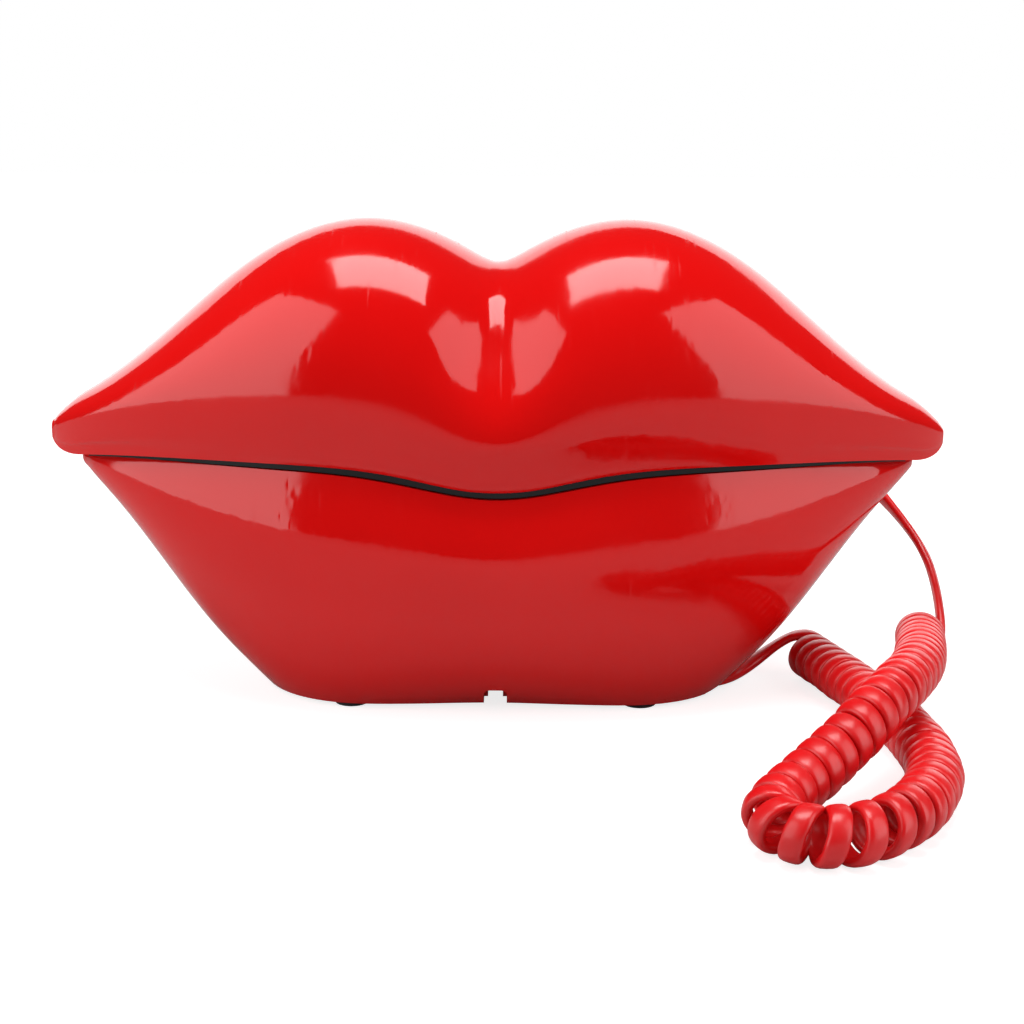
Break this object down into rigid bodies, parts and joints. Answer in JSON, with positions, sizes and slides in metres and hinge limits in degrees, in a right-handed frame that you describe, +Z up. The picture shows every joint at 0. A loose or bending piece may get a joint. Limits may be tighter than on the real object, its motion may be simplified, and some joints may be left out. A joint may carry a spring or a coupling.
{
  "type": "novelty telephone",
  "caption": "Corded telephone shaped like closed lips: the upper lip lifts off as the handset, the lower lip is the base, with a curly cord.",
  "frame": {"origin": "on the table under the middle of the phone, measured without its curly cord", "axes": "+X to the right along the lips, +Y to the back, +Z up; the front of the lips faces -Y"},
  "size_m": [0.2116, 0.1557, 0.1092],
  "materials": {
    "red_plastic": "glossy",
    "black_plastic": "glossy",
    "key_plastic": "satin",
    "rubber": "matte",
    "foot_rubber": "matte",
    "circuit_board": "satin",
    "steel": "zinc plated",
    "brass": "satin",
    "clear_plastic": "clear",
    "red_cord": "satin"
  },
  "bodies": {
    "base": {"base_shell": "red_plastic", "base_deck": "red_plastic", "deck_pillars": "black_plastic", "base_bottom": "red_plastic", "hook_spring": "steel", "hook_switch": "black_plastic", "base_board": "circuit_board", "base_weight": "steel", "ringer_holder": "black_plastic", "ringer_disc": "brass", "base_cord_jack": "black_plastic", "line_jack": "black_plastic", "slide_switches": "steel", "rubber_feet": "foot_rubber", "base_screws": "steel", "plug_base": "clear_plastic", "cord_tail_base": "red_cord", "cord_coil": "red_cord", "cord_tail_handset": "red_cord"},
    "handset": {"handset_shell": "red_plastic", "handset_cover": "black_plastic", "keypad_mat": "rubber", "handset_board": "circuit_board", "earpiece_ring": "rubber", "earpiece_receiver": "black_plastic", "microphone_boot": "rubber", "microphone": "steel", "handset_jack": "black_plastic", "handset_weights": "steel", "handset_screws": "steel", "plug_handset": "clear_plastic"},
    "hook": {"hook_plunger": "black_plastic"},
    "ringer_knob": {"ringer_slider": "black_plastic"},
    "mode_knob": {"dial_mode_slider": "black_plastic"},
    "button_1": {"key_1": "key_plastic"},
    "button_2": {"key_2": "key_plastic"},
    "button_3": {"key_3": "key_plastic"},
    "button_4": {"key_4": "key_plastic"},
    "button_5": {"key_5": "key_plastic"},
    "button_6": {"key_6": "key_plastic"},
    "button_7": {"key_7": "key_plastic"},
    "button_8": {"key_8": "key_plastic"},
    "button_9": {"key_9": "key_plastic"},
    "button_star": {"key_star": "key_plastic"},
    "button_0": {"key_0": "key_plastic"},
    "button_hash": {"key_hash": "key_plastic"},
    "button_mute": {"key_mute": "key_plastic"},
    "button_redial": {"key_redial": "key_plastic"},
    "button_flash": {"key_flash": "key_plastic"}
  },
  "joints": [
    {"name": "handset_lift", "type": "slide", "parent": "base", "child": "handset", "axis": [0, 0, 1], "range_m": [0, 0.06], "deforming": ["cord_tail_handset"]},
    {"name": "hook_travel", "type": "slide", "parent": "base", "child": "hook", "axis": [0, 0, 1], "range_m": [0, 0.003], "stiffness_N_per_m": 60, "springref_m": 0.006, "deforming": ["hook_spring"]},
    {"name": "ringer_slide", "type": "slide", "parent": "base", "child": "ringer_knob", "axis": [1, 0, 0], "range_m": [0, 0.003]},
    {"name": "mode_slide", "type": "slide", "parent": "base", "child": "mode_knob", "axis": [1, 0, 0], "range_m": [0, 0.003]},
    {"name": "key_1_press", "type": "slide", "parent": "handset", "child": "button_1", "axis": [0, 0, 1], "range_m": [0, 0.0011], "stiffness_N_per_m": 300},
    {"name": "key_2_press", "type": "slide", "parent": "handset", "child": "button_2", "axis": [0, 0, 1], "range_m": [0, 0.0011], "stiffness_N_per_m": 300},
    {"name": "key_3_press", "type": "slide", "parent": "handset", "child": "button_3", "axis": [0, 0, 1], "range_m": [0, 0.0011], "stiffness_N_per_m": 300},
    {"name": "key_4_press", "type": "slide", "parent": "handset", "child": "button_4", "axis": [0, 0, 1], "range_m": [0, 0.0011], "stiffness_N_per_m": 300},
    {"name": "key_5_press", "type": "slide", "parent": "handset", "child": "button_5", "axis": [0, 0, 1], "range_m": [0, 0.0011], "stiffness_N_per_m": 300},
    {"name": "key_6_press", "type": "slide", "parent": "handset", "child": "button_6", "axis": [0, 0, 1], "range_m": [0, 0.0011], "stiffness_N_per_m": 300},
    {"name": "key_7_press", "type": "slide", "parent": "handset", "child": "button_7", "axis": [0, 0, 1], "range_m": [0, 0.0011], "stiffness_N_per_m": 300},
    {"name": "key_8_press", "type": "slide", "parent": "handset", "child": "button_8", "axis": [0, 0, 1], "range_m": [0, 0.0011], "stiffness_N_per_m": 300},
    {"name": "key_9_press", "type": "slide", "parent": "handset", "child": "button_9", "axis": [0, 0, 1], "range_m": [0, 0.0011], "stiffness_N_per_m": 300},
    {"name": "key_star_press", "type": "slide", "parent": "handset", "child": "button_star", "axis": [0, 0, 1], "range_m": [0, 0.0011], "stiffness_N_per_m": 300},
    {"name": "key_0_press", "type": "slide", "parent": "handset", "child": "button_0", "axis": [0, 0, 1], "range_m": [0, 0.0011], "stiffness_N_per_m": 300},
    {"name": "key_hash_press", "type": "slide", "parent": "handset", "child": "button_hash", "axis": [0, 0, 1], "range_m": [0, 0.0011], "stiffness_N_per_m": 300},
    {"name": "key_mute_press", "type": "slide", "parent": "handset", "child": "button_mute", "axis": [0, 0, 1], "range_m": [0, 0.0011], "stiffness_N_per_m": 300},
    {"name": "key_redial_press", "type": "slide", "parent": "handset", "child": "button_redial", "axis": [0, 0, 1], "range_m": [0, 0.0011], "stiffness_N_per_m": 300},
    {"name": "key_flash_press", "type": "slide", "parent": "handset", "child": "button_flash", "axis": [0, 0, 1], "range_m": [0, 0.0011], "stiffness_N_per_m": 300}
  ],
  "couplings": [
    {"joint": "hook_travel", "follows": "handset_lift", "ratio": 0.05}
  ]
}
